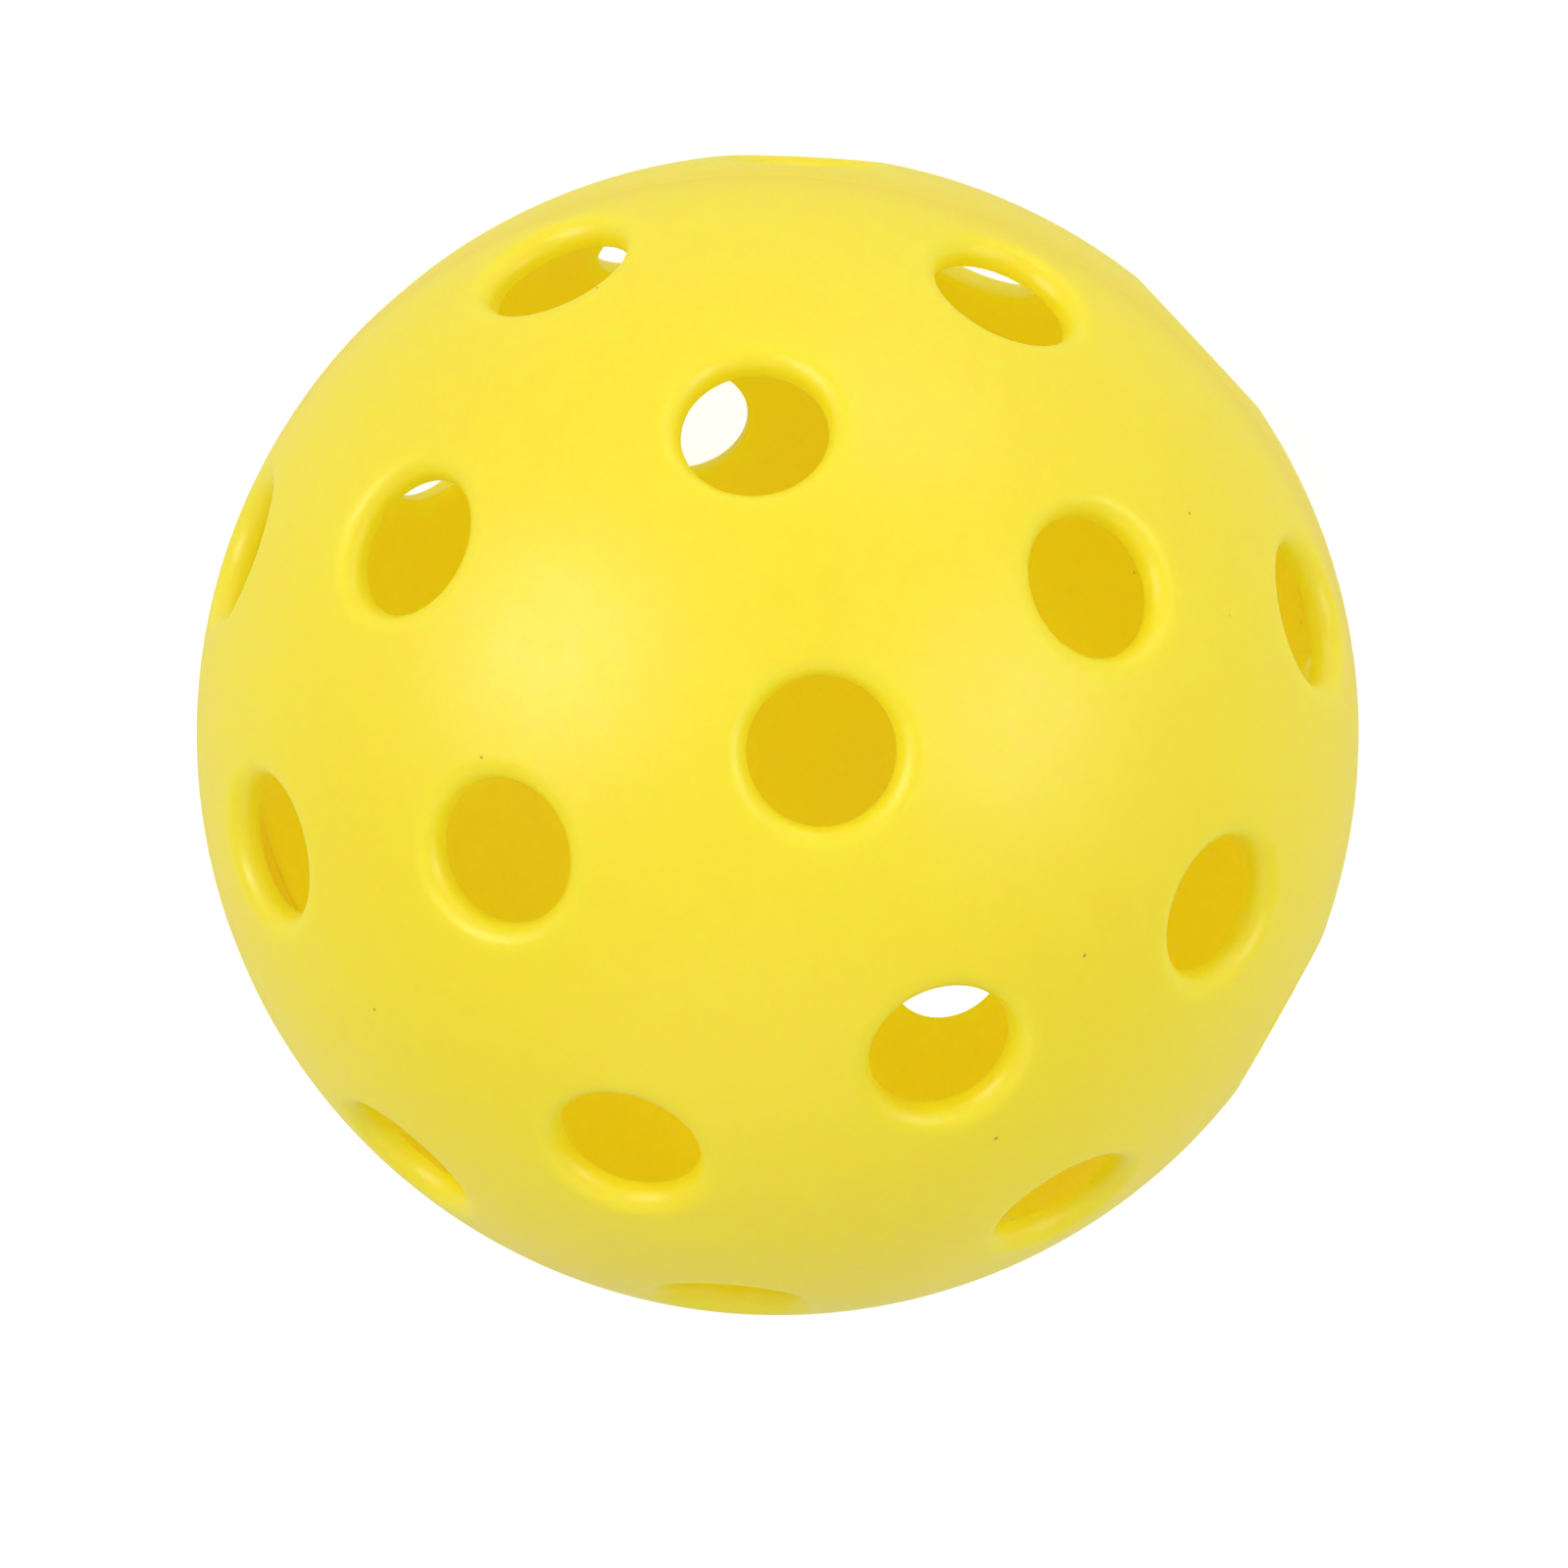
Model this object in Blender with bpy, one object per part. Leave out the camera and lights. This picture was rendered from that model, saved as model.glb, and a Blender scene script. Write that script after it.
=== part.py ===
"""A pickleball ball: a hollow plastic ball with 40 round air holes, made of two identical moulded half shells
that are welded rim to rim.

Frame: the origin is the centre of the ball, +Z is the axis on which the holes repeat every quarter turn, and
the weld lies in the plane Z = 0. Everything is in metres. The ball has no moving parts.
"""

import math

import bmesh
import bpy
from mathutils import Matrix, Vector

# Driving dimensions of the ball
BALL_DIAMETER = 0.074
WALL = 0.0018
HOLE_DIAMETER = 0.0086
HOLE_EDGE_RADIUS = 0.0012  # the moulded round where a hole meets the outside of the ball

# The hole pattern of one half: (holes in the ring, angle from the pole, angle of the first hole about Z)
HOLE_RINGS = (
    (4, math.radians(22.9), 0.0),
    (8, math.radians(51.6), math.radians(22.5)),
    (8, math.radians(77.1), 0.0),
)
# The lower half is the same moulding turned over and set round by this much, so that its holes next to the
# weld stand between those of the upper half
LOWER_HALF_TURN = math.radians(67.5)

# The rim of each half
WELD_GAP = 0.0003  # between the two rims; the weld itself is not modelled
RIM_HEIGHT = 0.0011  # how far the thicker rim reaches from the weld
RIM_SLOPE = 0.0008  # the height over which the rim thins back to the wall
RIM_EXTRA = 0.0006  # how much thicker the rim is than the wall, on the inside

# How finely round shapes are divided
STEPS_AROUND = 48
STEPS_POLE_TO_RIM = 12
HOLE_STEPS = 20
HALF_STEP = 0.5  # a hole's first point is set round by this share of a step
EDGE_STEPS = 2

# The cutter of a hole runs this far past the wall at each end
CUTTER_OVERRUN = 0.0015

# Points of the turned section that are nearer than this to the axis are one point
MERGE_DISTANCE = 0.00001

# Edges that turn by more than this are drawn sharp: the rim's, and the inner edge of each hole
SHARP_EDGE = math.radians(40)

SHELL_COLOUR = (0.93, 0.72, 0.055, 1.0)
SHELL_ROUGHNESS = 0.42

OUTER_RADIUS = BALL_DIAMETER / 2
INNER_RADIUS = OUTER_RADIUS - WALL
HOLE_RADIUS = HOLE_DIAMETER / 2


def clear_scene():
    for item in list(bpy.data.objects):
        bpy.data.objects.remove(item, do_unlink=True)


def plastic():
    """Bright yellow polyethylene with a satin surface."""
    material = bpy.data.materials.new("yellow_polyethylene")
    material.use_nodes = True
    shader = material.node_tree.nodes["Principled BSDF"]
    shader.inputs["Base Color"].default_value = SHELL_COLOUR
    shader.inputs["Roughness"].default_value = SHELL_ROUGHNESS
    shader.inputs["Metallic"].default_value = 0.0
    material.diffuse_color = SHELL_COLOUR
    return material


def arc(radius, start_angle, end_angle, steps):
    """Points (distance from the axis, height) on a circle about the origin, by angle from the pole."""
    points = []
    for i in range(steps + 1):
        angle = start_angle + (end_angle - start_angle) * i / steps
        points.append((radius * math.sin(angle), radius * math.cos(angle)))
    return points


def at_height(radius, height):
    """The point (distance from the axis, height) of a circle about the origin at that height."""
    return (math.sqrt(radius**2 - height**2), height)


def half_shell_profile():
    """The section of a half: down its outside from the pole, across the rim and up its inside."""
    rim_bottom = WELD_GAP / 2
    rim_top = rim_bottom + RIM_HEIGHT
    slope_top = rim_top + RIM_SLOPE
    last_outside = math.acos(rim_bottom / OUTER_RADIUS)
    first_inside = math.acos(slope_top / INNER_RADIUS)
    outside = arc(OUTER_RADIUS, 0.0, last_outside, STEPS_POLE_TO_RIM)
    rim = [
        at_height(INNER_RADIUS - RIM_EXTRA, rim_bottom),
        at_height(INNER_RADIUS - RIM_EXTRA, rim_top),
    ]
    inside = arc(INNER_RADIUS, first_inside, 0.0, STEPS_POLE_TO_RIM)
    return outside + rim + inside


def mesh_from_profile(name, profile):
    """A line of points in the XZ plane, for a Screw modifier to turn about Z."""
    mesh = bpy.data.meshes.new(name)
    points = [(x, 0.0, z) for x, z in profile]
    edges = [(i, i + 1) for i in range(len(points) - 1)]
    mesh.from_pydata(points, edges, [])
    return mesh


def hole_directions():
    """The direction of each hole of the upper half, from the centre of the ball."""
    directions = []
    for count, polar, first in HOLE_RINGS:
        for i in range(count):
            azimuth = first + math.tau * i / count
            directions.append(
                Vector(
                    (
                        math.sin(polar) * math.cos(azimuth),
                        math.sin(polar) * math.sin(azimuth),
                        math.cos(polar),
                    )
                )
            )
    return directions


def hole_profile():
    """The section of a hole's cutter: a straight bore that opens in a round edge tangent to the ball."""
    edge_centre_out = HOLE_RADIUS + HOLE_EDGE_RADIUS
    edge_centre_up = math.sqrt((OUTER_RADIUS - HOLE_EDGE_RADIUS) ** 2 - edge_centre_out**2)
    edge_end = math.atan2(edge_centre_up, edge_centre_out)
    bottom = INNER_RADIUS - CUTTER_OVERRUN
    top = OUTER_RADIUS + CUTTER_OVERRUN
    profile = [(0.0, bottom), (HOLE_RADIUS, bottom)]
    for i in range(EDGE_STEPS + 1):
        angle = math.pi - (math.pi - edge_end) * i / EDGE_STEPS
        profile.append(
            (
                edge_centre_out + HOLE_EDGE_RADIUS * math.cos(angle),
                edge_centre_up + HOLE_EDGE_RADIUS * math.sin(angle),
            )
        )
    flare_out, flare_up = profile[-1]
    profile.append((flare_out + (top - flare_up), top))
    profile.append((0.0, top))
    return profile


def add_turned_cutter(mesh, profile, direction):
    """Adds the profile, turned about a hole's direction, to the mesh as one closed body."""
    turn = direction.to_track_quat("Z", "Y").to_matrix().to_4x4()
    rings = []
    for x, z in profile:
        if x == 0.0:
            rings.append([mesh.verts.new(turn @ Vector((0.0, 0.0, z)))])
            continue
        ring = []
        for step in range(HOLE_STEPS):
            angle = math.tau * (step + HALF_STEP) / HOLE_STEPS
            point = Vector((x * math.cos(angle), x * math.sin(angle), z))
            ring.append(mesh.verts.new(turn @ point))
        rings.append(ring)
    for low, high in zip(rings, rings[1:]):
        for step in range(HOLE_STEPS):
            after = (step + 1) % HOLE_STEPS
            if len(low) == 1:
                mesh.faces.new((low[0], high[after], high[step]))
            elif len(high) == 1:
                mesh.faces.new((low[step], low[after], high[0]))
            else:
                mesh.faces.new((low[step], low[after], high[after], high[step]))


def hole_cutter():
    """All the holes of one half, as one hidden object that a Boolean takes away."""
    shape = bmesh.new()
    profile = hole_profile()
    for direction in hole_directions():
        add_turned_cutter(shape, profile, direction)
    mesh = bpy.data.meshes.new("hole_cutter")
    shape.to_mesh(mesh)
    shape.free()
    cutter = bpy.data.objects.new("hole_cutter", mesh)
    cutter.hide_render = True
    cutter.display_type = "WIRE"
    bpy.context.collection.objects.link(cutter)
    return cutter


def half_shell_mesh(cutter, material):
    """The moulding that both halves share: the turned shell with its holes cut."""
    blank = bpy.data.objects.new("blank", mesh_from_profile("blank", half_shell_profile()))
    bpy.context.collection.objects.link(blank)
    turn = blank.modifiers.new("Turn", "SCREW")
    turn.steps = STEPS_AROUND
    turn.render_steps = STEPS_AROUND
    turn.use_merge_vertices = True
    turn.merge_threshold = MERGE_DISTANCE
    cut = blank.modifiers.new("Holes", "BOOLEAN")
    cut.operation = "DIFFERENCE"
    cut.solver = "EXACT"
    cut.object = cutter
    graph = bpy.context.evaluated_depsgraph_get()
    mesh = bpy.data.meshes.new_from_object(blank.evaluated_get(graph))
    mesh.name = "half_shell"
    bpy.data.objects.remove(blank, do_unlink=True)
    mesh.shade_smooth()
    mesh.set_sharp_from_angle(angle=SHARP_EDGE)
    mesh.materials.append(material)
    return mesh


def place_half(name, mesh, turn):
    half = bpy.data.objects.new(name, mesh)
    half.matrix_world = turn
    bpy.context.collection.objects.link(half)


def main():
    clear_scene()
    mesh = half_shell_mesh(hole_cutter(), plastic())
    turned_over = Matrix.Rotation(LOWER_HALF_TURN, 4, "Z") @ Matrix.Rotation(math.pi, 4, "X")
    place_half("upper_half_shell", mesh, Matrix.Identity(4))
    place_half("lower_half_shell", mesh, turned_over)


main()
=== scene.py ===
"""The look of a pickleball ball: two fine half shells in satin yellow polyethylene, in soft light.

Row frame, in metres: the origin is the ball's centre, +Z is the upper half's pole and the weld is in Z = 0.
"""

import itertools
import math

import bpy
from mathutils import Matrix, Vector


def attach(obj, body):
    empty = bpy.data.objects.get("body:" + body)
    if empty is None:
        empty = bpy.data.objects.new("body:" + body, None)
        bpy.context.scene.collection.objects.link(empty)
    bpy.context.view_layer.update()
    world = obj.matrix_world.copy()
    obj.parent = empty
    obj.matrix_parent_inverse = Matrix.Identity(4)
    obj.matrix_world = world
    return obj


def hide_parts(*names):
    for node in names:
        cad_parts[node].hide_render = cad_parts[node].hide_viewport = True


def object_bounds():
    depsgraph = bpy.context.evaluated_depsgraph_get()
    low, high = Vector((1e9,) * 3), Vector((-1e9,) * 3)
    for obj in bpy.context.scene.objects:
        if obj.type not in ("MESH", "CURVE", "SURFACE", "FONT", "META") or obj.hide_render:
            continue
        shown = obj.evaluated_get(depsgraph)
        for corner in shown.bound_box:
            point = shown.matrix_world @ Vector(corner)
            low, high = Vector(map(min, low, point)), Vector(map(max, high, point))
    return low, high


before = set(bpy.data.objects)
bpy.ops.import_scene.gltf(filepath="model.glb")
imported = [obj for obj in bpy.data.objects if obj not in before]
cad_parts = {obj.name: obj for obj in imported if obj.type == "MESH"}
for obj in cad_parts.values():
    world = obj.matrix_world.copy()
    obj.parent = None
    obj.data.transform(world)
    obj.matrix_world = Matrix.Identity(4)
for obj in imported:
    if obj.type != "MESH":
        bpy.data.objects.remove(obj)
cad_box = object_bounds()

MM = 0.001

# The ball, from the frame
LOW, HIGH = cad_box
BALL_RADIUS = min(high - low for low, high in zip(LOW, HIGH)) / 2
FLOOR_HEIGHT = LOW[2]

# The moulding, as part.py has it
WALL = 1.8 * MM
INNER_RADIUS = BALL_RADIUS - WALL
HOLE_RADIUS = 4.3 * MM
HOLE_EDGE_RADIUS = 1.2 * MM
INNER_EDGE_RADIUS = 0.2 * MM
# Each ring's number of holes, angle from the pole, and angle of its first hole about Z
HOLE_RINGS = (
    (4, math.radians(22.9), 0.0),
    (8, math.radians(51.6), math.radians(22.5)),
    (8, math.radians(77.1), 0.0),
)
LOWER_HALF_TURN = math.radians(67.5)

# The rim where the halves are welded
RIM_ANGLE = math.radians(87.6)  # from the pole; the band from here to the weld has no holes
WELD_GAP = 0.01 * MM  # the drawn halves all but touch
SEAM_EDGE = 0.05 * MM  # the round on the outside edge of each rim, which draws the parting line
BEAD = 0.6 * MM  # how far the welding bead stands out inside
BEAD_HEIGHT = 1.1 * MM

# How finely the shell is divided
SPOKE_STEP = math.radians(5.0)
OUTER_ROWS = 9
OUTER_ROW_CROWDING = 1.6  # above 1, the rows crowd towards the hole
EDGE_ROWS = 9
BORE_ROWS = 2
INNER_EDGE_ROWS = 2
INNER_ROWS = 6
RIM_OUTER_ROWS = 4
SEAM_EDGE_ROWS = 3
RIM_INNER_ROWS = 7
MERGE_DISTANCE = 0.001 * MM

# How the corners of a cell are found
NEIGHBOUR_COSINES = (0.2, 0.999)  # below these a hole is too far off, and above them it is the same hole
CORNER_LOOKS = 720
FIRST_LOOK = 0.37  # of the angle between looks, so that none falls on a line of symmetry
HALVINGS = 45
SMALLEST_SPAN = 1e-5
SPAN_SLACK = 1e-3  # of a spoke step

# The plastic: two close yellows, mottled, with dust specks, a satin surface and a translucent wall
YELLOW = (0.965, 0.768, 0.004, 1.0)
YELLOW_DEEP = (0.950, 0.738, 0.002, 1.0)
CLOUD_SIZE = 14 * MM
CLOUD_DETAIL = 3.0
CLOUD_SHARE = 0.7  # of the clouds, added to all of the mottle
MOTTLE_SIZE = 1.6 * MM
MOTTLE_DETAIL = 4.0
MOTTLE_ROUGHNESS = 0.6
TONE_RANGE = (0.55, 1.15)  # the sum of both, from the deep yellow to the light one
SPECK = (0.35, 0.22, 0.02, 1.0)
SPECK_SPACING = 4.5 * MM
SPECK_CHOICE = (0.62, 0.63)  # the spacing cells whose random shade is above these have a speck
SPECK_SIZE = (0.018, 0.034)  # its core and its edge, in spacings
SPECK_STRENGTH = 0.75
NOISE_MIDDLE = (0.3, 0.7)  # where most of a noise's values lie
ROUGHNESS = (0.40, 0.50)
WAVE_DEPTH = 0.25 * MM
WAVE_STRENGTH = 0.25
GRAIN_SIZE = 0.45 * MM
GRAIN_DETAIL = 3.0
GRAIN_DEPTH = 0.02 * MM
GRAIN_STRENGTH = 0.35
PLASTIC_IOR = 1.51
PLASTIC_SPECULAR = 0.75
SCATTER_RADIUS = (1.0, 1.8, 0.15)
SCATTER_SCALE = 1.8 * MM
WELD_FADE = (0.3 * MM, 2.5 * MM)  # from the weld: opaque up to here, and fully translucent from here on

# The table and the backdrop look white to the camera, and throw less light than that on the ball
WHITE = (1.0, 1.0, 1.0, 1.0)
TABLE_DARK = (0.24, 0.24, 0.24, 1.0)
TABLE_LIGHT = (0.26, 0.26, 0.26, 1.0)
TABLE_MOTTLE_SIZE = 60 * MM
TABLE_ROUGHNESS = 0.8
TABLE_SPECULAR = 0.2
TABLE_GLOW_GIVEN = 0.50
TABLE_GLOW_SEEN = 0.86
TABLE_HALF_WIDTH = 1.5
WORLD_GIVEN = 0.50
WORLD_SEEN = 1.0

# The photograph looks at the ball from this direction, turned by this much about the line of sight
VIEW_POLAR = math.radians(22.98)
VIEW_AZIMUTH = math.radians(11.11)
VIEW_ROLL = math.radians(-165.94)
VIEW_DISTANCE = 8.5  # ball radii
# The ball's width in the picture and how far right and up it stands, in shares of the picture's width
BALL_WIDTH_SHARE = 0.74125
BALL_RIGHT_SHARE = -0.004
BALL_UP_SHARE = 0.031375
SENSOR_WIDTH = 36.0  # millimetres, as the camera takes it
CLIP_NEAR = 0.01
CLIP_FAR = 20.0

# Name, where it stands in the camera's right, up and back directions, width in metres and power in watts
SOFTBOXES = (
    ("left_softbox", (-0.66, 0.24, 0.70), 0.50, 3.00),
    ("top_softbox", (0.31, 0.90, 0.25), 0.55, 2.75),
    ("right_softbox", (0.70, 0.05, 0.72), 0.50, 2.05),
    ("low_softbox", (-0.10, -0.85, 0.50), 1.00, 1.10),
)
SOFTBOX_DISTANCE = 0.9

INNER_LAMP_WIDTH = 20 * MM
INNER_LAMP_POWER = 0.0065
INNER_LAMP_COLOUR = (0.96, 1.12, 0.1)


# ---------------------------------------------------------------- the half shell's mesh


def on_sphere(polar, azimuth):
    """The unit vector at an angle from the pole and an angle about Z."""
    return Vector(
        (
            math.sin(polar) * math.cos(azimuth),
            math.sin(polar) * math.sin(azimuth),
            math.cos(polar),
        )
    )


def hole_directions():
    return [
        on_sphere(polar, first + math.tau * i / count)
        for count, polar, first in HOLE_RINGS
        for i in range(count)
    ]


class Cell:
    """The part of a half shell that is nearest to one hole, worked out in spokes about the hole's axis."""

    def __init__(self, axis, all_axes):
        too_far, the_same = NEIGHBOUR_COSINES
        self.axis = axis
        self.side = axis.cross(Vector((0.0, 0.0, 1.0))).normalized()
        self.up = self.side.cross(axis)
        self.neighbours = [other for other in all_axes if too_far < other.dot(axis) < the_same]
        self.spokes = self.find_spokes()

    def outward(self, spoke):
        """The unit vector that leads away from the hole's axis along a spoke."""
        return self.side * math.cos(spoke) + self.up * math.sin(spoke)

    def limit(self, spoke):
        """How far the cell reaches along a spoke, as an angle from the hole's axis, and what ends it."""
        outward = self.outward(spoke)
        reach, ended_by = math.pi, None
        for i, other in enumerate(self.neighbours):
            towards = other.dot(outward)
            if towards > 0.0:
                angle = math.atan2(1.0 - other.dot(self.axis), towards)
                if angle < reach:
                    reach, ended_by = angle, i
        size = math.hypot(self.axis.z, outward.z)
        ratio = math.cos(RIM_ANGLE) / size
        if ratio < 1.0:
            angle = math.atan2(outward.z, self.axis.z) + math.acos(ratio)
            if 0.0 < angle < reach:
                reach, ended_by = angle, "rim"
        return reach, ended_by

    def corner_between(self, low, high):
        """The spoke at which what ends the cell changes."""
        start = self.limit(low)[1]
        for _ in range(HALVINGS):
            middle = (low + high) / 2
            if self.limit(middle)[1] == start:
                low = middle
            else:
                high = middle
        return (low + high) / 2

    def find_spokes(self):
        """Spokes at the cell's corners and evenly between them, so that neighbouring cells share points."""
        looks = [math.tau * (FIRST_LOOK + i) / CORNER_LOOKS for i in range(CORNER_LOOKS + 1)]
        ends = [self.limit(look)[1] for look in looks]
        corners = [
            self.corner_between(looks[i], looks[i + 1])
            for i in range(CORNER_LOOKS)
            if ends[i] != ends[i + 1]
        ]
        spokes = []
        for corner, next_corner in zip(corners, corners[1:] + corners[:1]):
            span = (next_corner - corner) % math.tau
            if span < SMALLEST_SPAN:
                continue
            count = math.ceil(span / SPOKE_STEP - SPAN_SLACK)
            spokes += [corner + span * i / count for i in range(count)]
        return spokes


def arc(centre, radius, start, end, rows):
    """Points of an arc in a section, both ends among them."""
    points = []
    for i in range(rows + 1):
        angle = start + (end - start) * i / rows
        points.append((centre[0] + radius * math.cos(angle), centre[1] + radius * math.sin(angle)))
    return points


def hole_section():
    """A hole's edge and bore, from the ball's outside to its inside, as (out from the axis, up the axis)."""
    out = HOLE_RADIUS + HOLE_EDGE_RADIUS
    up = math.sqrt((BALL_RADIUS - HOLE_EDGE_RADIUS) ** 2 - out**2)
    inner_out = HOLE_RADIUS + INNER_EDGE_RADIUS
    inner_up = math.sqrt((INNER_RADIUS + INNER_EDGE_RADIUS) ** 2 - inner_out**2)
    edge = arc((out, up), HOLE_EDGE_RADIUS, math.atan2(up, out), math.pi, EDGE_ROWS)
    bore = [(HOLE_RADIUS, up + (inner_up - up) * i / BORE_ROWS) for i in range(1, BORE_ROWS)]
    inner_end = math.pi + math.atan2(inner_up, inner_out)
    inner_edge = arc((inner_out, inner_up), INNER_EDGE_RADIUS, math.pi, inner_end, INNER_EDGE_ROWS)
    return edge + bore + inner_edge


def spoke_points(cell, spoke, section):
    """The points along one spoke: over the outside to the hole, through it, and back along the inside."""
    reach, _ = cell.limit(spoke)
    outward = cell.outward(spoke)
    edge = math.atan2(*section[0])
    inner_edge = math.atan2(*section[-1])
    points = []
    for i in range(OUTER_ROWS):
        crowded = 1.0 - (1.0 - i / OUTER_ROWS) ** OUTER_ROW_CROWDING
        angle = reach + (edge - reach) * crowded
        points.append((cell.axis * math.cos(angle) + outward * math.sin(angle)) * BALL_RADIUS)
    for out, up in section:
        points.append(cell.axis * up + outward * out)
    for i in range(1, INNER_ROWS + 1):
        angle = inner_edge + (reach - inner_edge) * i / INNER_ROWS
        points.append((cell.axis * math.cos(angle) + outward * math.sin(angle)) * INNER_RADIUS)
    return points


def rim_section():
    """The section of the rim, from the outside of the ball round under the weld face to the inside."""
    weld = WELD_GAP / 2
    round_top = weld + SEAM_EDGE
    first = BALL_RADIUS * math.cos(RIM_ANGLE)
    last = INNER_RADIUS * math.cos(RIM_ANGLE)
    section = []
    for i in range(1, RIM_OUTER_ROWS + 1):
        height = first + (round_top - first) * i / RIM_OUTER_ROWS
        section.append((math.sqrt(BALL_RADIUS**2 - height**2), height))
    round_centre = (section[-1][0] - SEAM_EDGE, round_top)
    section += arc(round_centre, SEAM_EDGE, 0.0, -math.pi / 2, SEAM_EDGE_ROWS)[1:]
    bead_radius = INNER_RADIUS - BEAD
    section.append(((section[-1][0] + bead_radius) / 2, weld))
    section.append((bead_radius, weld))
    for i in range(1, RIM_INNER_ROWS):
        height = weld + (last - weld) * i / RIM_INNER_ROWS
        swell = BEAD * math.sqrt(max(0.0, 1.0 - (height / BEAD_HEIGHT) ** 2))
        section.append((math.sqrt(INNER_RADIUS**2 - height**2) - swell, height))
    return section


class Surface:
    """The points and faces of a mesh, in which points that fall together are one."""

    def __init__(self):
        self.points = []
        self.faces = []
        self.numbers = {}

    def at(self, point):
        """The number of the point at this place, which is added if there is none."""
        key = tuple(round(value / MERGE_DISTANCE) for value in point)
        for steps in itertools.product((0, -1, 1), repeat=3):
            near = tuple(place + step for place, step in zip(key, steps))
            if near in self.numbers:
                return self.numbers[near]
        self.numbers[key] = len(self.points)
        self.points.append(point)
        return self.numbers[key]

    def join(self, line, next_line):
        """Quads from one line of points to the next."""
        self.faces += zip(line, line[1:], next_line[1:], next_line)

    def rim_line(self, line, rim):
        """The points over the rim, from the outer end of a cell's line to its inner end."""
        end = self.points[line[0]]
        azimuth = math.atan2(end.y, end.x)
        over = [self.at(Vector((out * math.cos(azimuth), out * math.sin(azimuth), up))) for out, up in rim]
        return [line[0]] + over + [line[-1]]

    def add_cell(self, cell, hole, rim):
        """One hole with the shell around it, and the rim below it if the cell ends there."""
        lines = [[self.at(point) for point in spoke_points(cell, spoke, hole)] for spoke in cell.spokes]
        next_lines = lines[1:] + lines[:1]
        for line, next_line in zip(lines, next_lines):
            self.join(line, next_line)
        next_spokes = cell.spokes[1:] + cell.spokes[:1]
        for spoke, next_spoke, line, next_line in zip(cell.spokes, next_spokes, lines, next_lines):
            middle = spoke + ((next_spoke - spoke) % math.tau) / 2
            if cell.limit(middle)[1] == "rim":
                start = self.rim_line(line, rim)
                end = self.rim_line(next_line, rim)
                self.join(end, start)


def half_shell_mesh():
    """One half with its holes, as closed rows of quads that run from hole to hole with no cut edges."""
    axes = hole_directions()
    hole = hole_section()
    rim = rim_section()
    surface = Surface()
    for axis in axes:
        surface.add_cell(Cell(axis, axes), hole, rim)
    mesh = bpy.data.meshes.new("half_shell")
    mesh.from_pydata([tuple(point) for point in surface.points], [], surface.faces)
    mesh.validate()
    mesh.shade_smooth()
    return mesh


# ---------------------------------------------------------------- materials


def new_material(name):
    material = bpy.data.materials.new(name)
    material.use_nodes = True
    nodes = material.node_tree.nodes
    return material, nodes, material.node_tree.links, nodes["Principled BSDF"]


def feed(links, socket, value):
    """Sets a socket to a number or a colour, or links another node's socket to it."""
    if isinstance(value, (tuple, float)):
        socket.default_value = value
    else:
        links.new(value, socket)


def noise(nodes, links, coordinates, size, detail=2.0, roughness=0.5):
    """A noise texture whose features are about this size."""
    texture = nodes.new("ShaderNodeTexNoise")
    texture.inputs["Scale"].default_value = 1.0 / size
    texture.inputs["Detail"].default_value = detail
    texture.inputs["Roughness"].default_value = roughness
    links.new(coordinates, texture.inputs["Vector"])
    return texture.outputs["Fac"]


def remap(nodes, links, value, before, after):
    """Takes values from one range to another, and holds them at its ends."""
    node = nodes.new("ShaderNodeMapRange")
    for name, number in zip(("From Min", "From Max", "To Min", "To Max"), before + after):
        node.inputs[name].default_value = number
    links.new(value, node.inputs["Value"])
    return node.outputs["Result"]


def calculate(nodes, links, operation, *values):
    node = nodes.new("ShaderNodeMath")
    node.operation = operation
    for socket, value in zip(node.inputs, values):
        feed(links, socket, value)
    return node.outputs["Value"]


def mix_colour(nodes, links, factor, first, second):
    node = nodes.new("ShaderNodeMix")
    node.data_type = "RGBA"
    feed(links, node.inputs["Factor"], factor)
    feed(links, node.inputs["A"], first)
    feed(links, node.inputs["B"], second)
    return node.outputs["Result"]


def bump(nodes, links, height, depth, strength):
    node = nodes.new("ShaderNodeBump")
    node.inputs["Distance"].default_value = depth
    node.inputs["Strength"].default_value = strength
    links.new(height, node.inputs["Height"])
    return node


def speck_cover(nodes, links, coordinates):
    """How far a dust speck covers the plastic."""
    cells = nodes.new("ShaderNodeTexVoronoi")
    cells.inputs["Scale"].default_value = 1.0 / SPECK_SPACING
    links.new(coordinates, cells.inputs["Vector"])
    chosen = remap(nodes, links, cells.outputs["Color"], SPECK_CHOICE, (0.0, 1.0))
    close = remap(nodes, links, cells.outputs["Distance"], SPECK_SIZE, (SPECK_STRENGTH, 0.0))
    return calculate(nodes, links, "MULTIPLY", chosen, close)


def translucency(nodes, links, coordinates):
    """Rises away from the weld, so that the gap between the halves doesn't show as a dark line."""
    parts = nodes.new("ShaderNodeSeparateXYZ")
    links.new(coordinates, parts.inputs["Vector"])
    height = calculate(nodes, links, "ABSOLUTE", parts.outputs["Z"])
    return remap(nodes, links, height, WELD_FADE, (0.0, 1.0))


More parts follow.
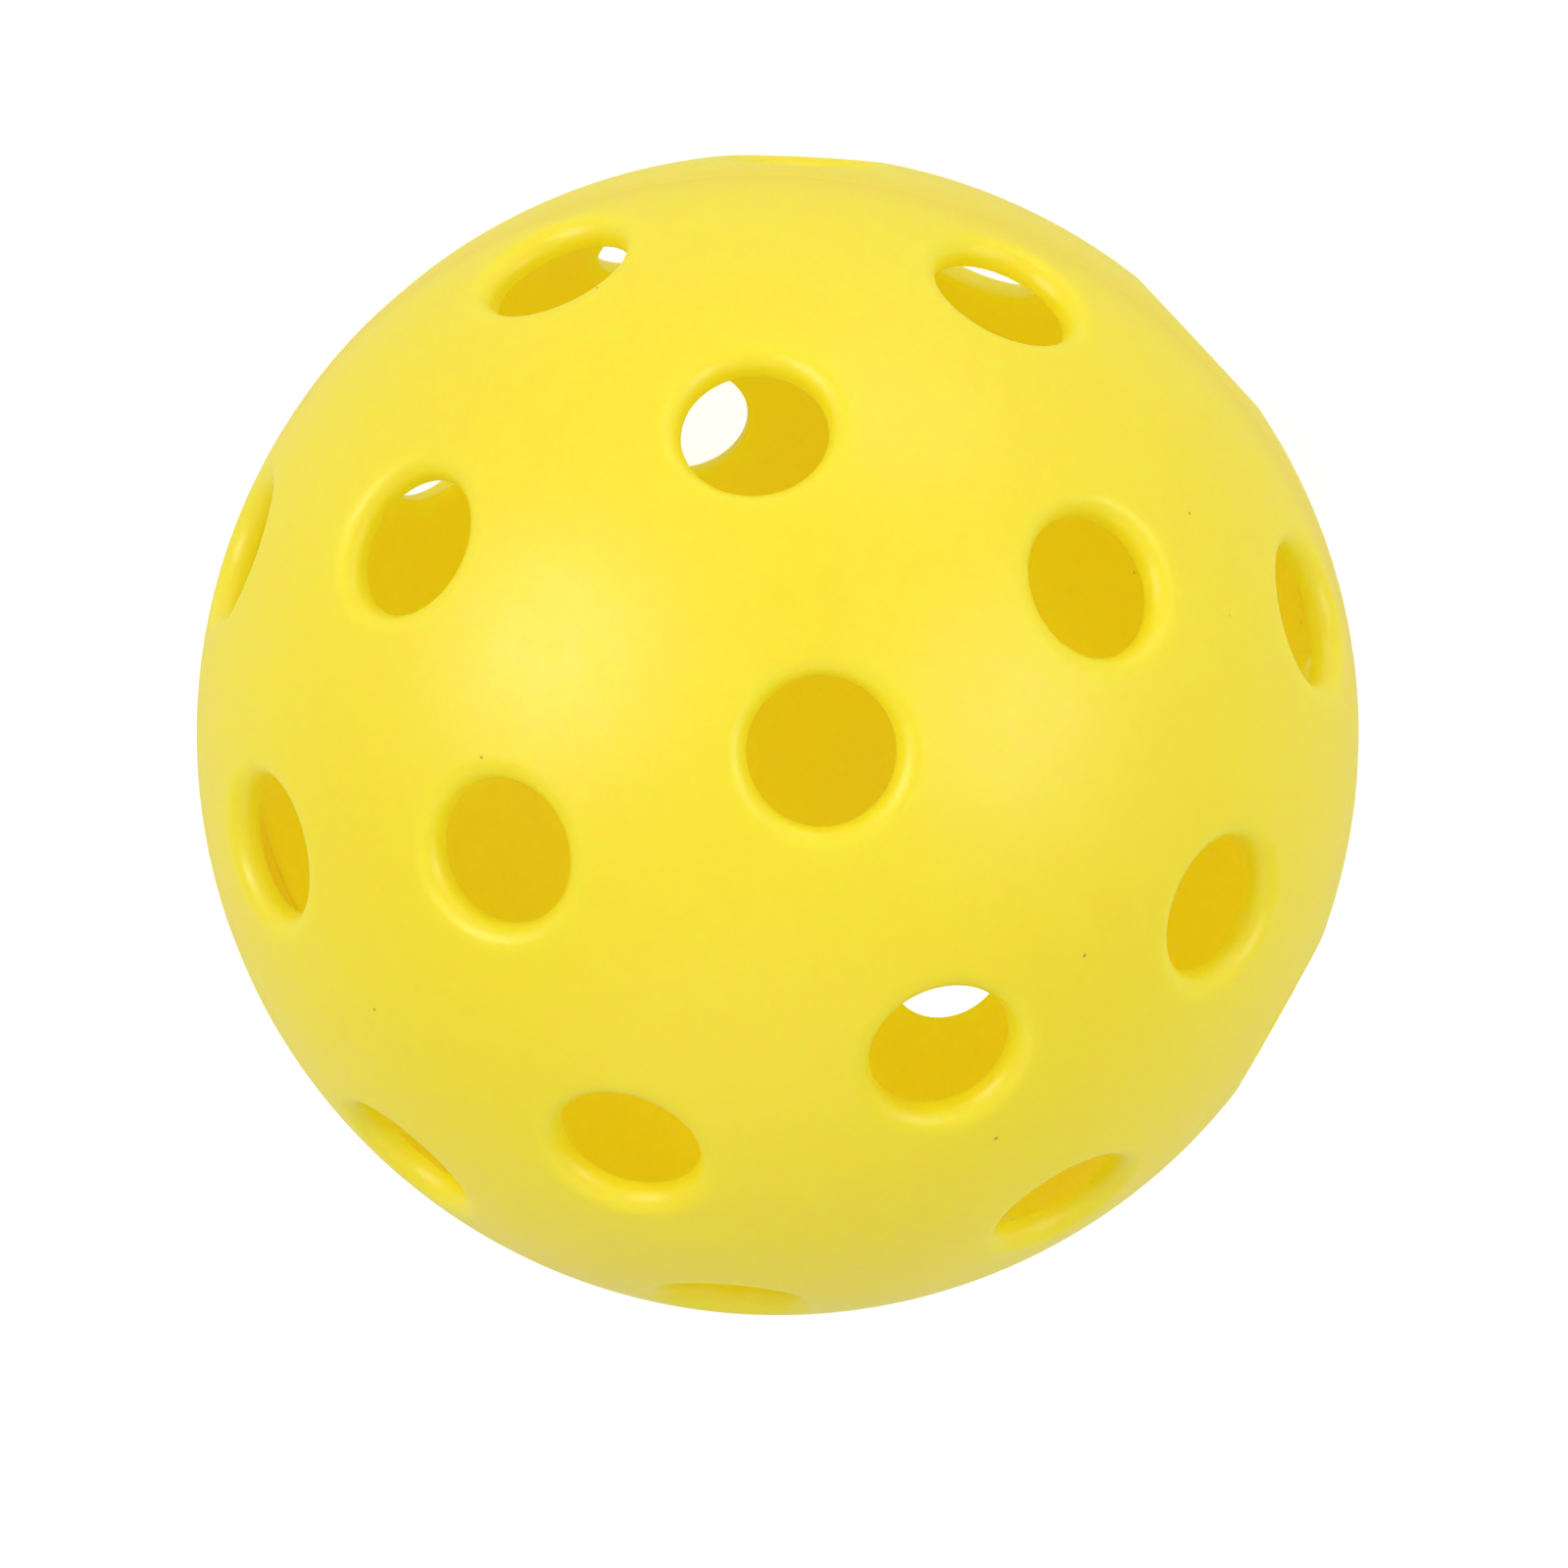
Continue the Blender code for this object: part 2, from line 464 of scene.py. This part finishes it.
def polyethylene():
    """Bright yellow polyethylene: satin, a little translucent, faintly mottled, with a few dust specks."""
    material, nodes, links, shader = new_material("yellow_polyethylene")
    coordinates = nodes.new("ShaderNodeTexCoord").outputs["Object"]
    clouds = noise(nodes, links, coordinates, CLOUD_SIZE, CLOUD_DETAIL)
    mottle = noise(nodes, links, coordinates, MOTTLE_SIZE, MOTTLE_DETAIL, MOTTLE_ROUGHNESS)
    grain = noise(nodes, links, coordinates, GRAIN_SIZE, GRAIN_DETAIL)

    both = calculate(nodes, links, "MULTIPLY_ADD", clouds, CLOUD_SHARE, mottle)
    tone = remap(nodes, links, both, TONE_RANGE, (0.0, 1.0))
    clean = mix_colour(nodes, links, tone, YELLOW_DEEP, YELLOW)
    dusty = mix_colour(nodes, links, speck_cover(nodes, links, coordinates), clean, SPECK)
    links.new(dusty, shader.inputs["Base Color"])

    links.new(remap(nodes, links, mottle, NOISE_MIDDLE, ROUGHNESS), shader.inputs["Roughness"])
    shader.inputs["IOR"].default_value = PLASTIC_IOR
    shader.inputs["Specular IOR Level"].default_value = PLASTIC_SPECULAR
    waves = bump(nodes, links, clouds, WAVE_DEPTH, WAVE_STRENGTH)
    fine_grain = bump(nodes, links, grain, GRAIN_DEPTH, GRAIN_STRENGTH)
    links.new(waves.outputs["Normal"], fine_grain.inputs["Normal"])
    links.new(fine_grain.outputs["Normal"], shader.inputs["Normal"])

    links.new(translucency(nodes, links, coordinates), shader.inputs["Subsurface Weight"])
    shader.inputs["Subsurface Radius"].default_value = SCATTER_RADIUS
    shader.inputs["Subsurface Scale"].default_value = SCATTER_SCALE
    return material


def seen_or_given(nodes, links, seen, given):
    """One strength for what the camera sees, and another for the light that a surface gives to the rest."""
    camera_ray = nodes.new("ShaderNodeLightPath").outputs["Is Camera Ray"]
    return remap(nodes, links, camera_ray, (0.0, 1.0), (given, seen))


def lit_table():
    """A pale table lit from inside, as products are photographed on."""
    material, nodes, links, shader = new_material("lit_table")
    coordinates = nodes.new("ShaderNodeTexCoord").outputs["Object"]
    mottle = noise(nodes, links, coordinates, TABLE_MOTTLE_SIZE)
    tone = remap(nodes, links, mottle, NOISE_MIDDLE, (0.0, 1.0))
    links.new(mix_colour(nodes, links, tone, TABLE_DARK, TABLE_LIGHT), shader.inputs["Base Color"])
    glow = seen_or_given(nodes, links, TABLE_GLOW_SEEN, TABLE_GLOW_GIVEN)
    links.new(glow, shader.inputs["Emission Strength"])
    shader.inputs["Emission Color"].default_value = WHITE
    shader.inputs["Roughness"].default_value = TABLE_ROUGHNESS
    shader.inputs["Specular IOR Level"].default_value = TABLE_SPECULAR
    return material


# ---------------------------------------------------------------- camera and light


def place(name, data):
    """A new object in the scene."""
    thing = bpy.data.objects.new(name, data)
    bpy.context.scene.collection.objects.link(thing)
    return thing


def camera_axes():
    """The camera's right, up and back directions, were it to look at the ball's centre."""
    back = on_sphere(VIEW_POLAR, VIEW_AZIMUTH)
    level_up = (Vector((0.0, 0.0, 1.0)) - back * back.z).normalized()
    level_right = level_up.cross(back)
    right = level_right * math.cos(VIEW_ROLL) + level_up * math.sin(VIEW_ROLL)
    return right, back.cross(right), back


def add_camera():
    """The camera looks a little beside the ball's centre, which puts the ball where the photograph has it."""
    outline = 1.0 / math.sqrt(VIEW_DISTANCE**2 - 1.0)  # the ball's outline on a plane one unit in front
    view_width = 2.0 * outline / BALL_WIDTH_SHARE
    data = bpy.data.cameras.new("photo_camera")
    data.sensor_width = SENSOR_WIDTH
    data.lens = SENSOR_WIDTH / view_width
    data.clip_start = CLIP_NEAR
    data.clip_end = CLIP_FAR
    right, up, back = camera_axes()
    aim = (back + (right * BALL_RIGHT_SHARE + up * BALL_UP_SHARE) * view_width).normalized()
    new_right = up.cross(aim).normalized()
    new_up = aim.cross(new_right)
    turn = Matrix((new_right, new_up, aim)).transposed().to_4x4()
    camera = place("photo_camera", data)
    camera.matrix_world = Matrix.Translation(back * VIEW_DISTANCE * BALL_RADIUS) @ turn
    bpy.context.scene.camera = camera


def add_softboxes():
    """Round area lights that face the ball and leave soft patches of sheen on it."""
    axes = Matrix(camera_axes()).transposed()
    for name, direction, width, power in SOFTBOXES:
        towards = (axes @ Vector(direction)).normalized()
        data = bpy.data.lights.new(name, "AREA")
        data.shape = "DISK"
        data.size = width
        data.energy = power
        softbox = place(name, data)
        softbox.location = towards * SOFTBOX_DISTANCE
        softbox.rotation_euler = towards.to_track_quat("Z", "Y").to_euler()


def add_inner_lamp():
    """A faint, slightly green lamp in the middle of the ball evens out the light inside it."""
    data = bpy.data.lights.new("inner_lamp", "POINT")
    data.shadow_soft_size = INNER_LAMP_WIDTH / 2
    data.energy = INNER_LAMP_POWER
    data.color = INNER_LAMP_COLOUR
    lamp = place("inner_lamp", data)
    lamp.visible_camera = False
    lamp.visible_glossy = False


def add_backdrop():
    world = bpy.data.worlds.new("studio")
    world.use_nodes = True
    nodes, links = world.node_tree.nodes, world.node_tree.links
    background = nodes["Background"]
    links.new(seen_or_given(nodes, links, WORLD_SEEN, WORLD_GIVEN), background.inputs["Strength"])
    background.inputs["Color"].default_value = WHITE
    bpy.context.scene.world = world


def add_floor():
    mesh = bpy.data.meshes.new("floor")
    signs = ((-1, -1), (1, -1), (1, 1), (-1, 1))
    corners = [(x * TABLE_HALF_WIDTH, y * TABLE_HALF_WIDTH, FLOOR_HEIGHT) for x, y in signs]
    mesh.from_pydata(corners, [], [(0, 1, 2, 3)])
    mesh.materials.append(lit_table())
    place("floor", mesh)


# ---------------------------------------------------------------- the scene


def add_half(name, node, mesh, material, turn):
    """A drawn half shell in the place of its CAD node."""
    turned = mesh.copy()
    turned.name = name
    turned.transform(turn)
    turned.materials.append(material)
    half = place(name, turned)
    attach(half, "root")
    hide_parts(node)


def add_ball():
    mesh = half_shell_mesh()
    plastic = polyethylene()
    turned_over = Matrix.Rotation(LOWER_HALF_TURN, 4, "Z") @ Matrix.Rotation(math.pi, 4, "X")
    add_half("upper_half", "upper_half_shell", mesh, plastic, Matrix.Identity(4))
    add_half("lower_half", "lower_half_shell", mesh, plastic, turned_over)


add_camera()
add_ball()
add_floor()
add_backdrop()
add_softboxes()
add_inner_lamp()
bpy.context.scene.view_settings.view_transform = "Standard"
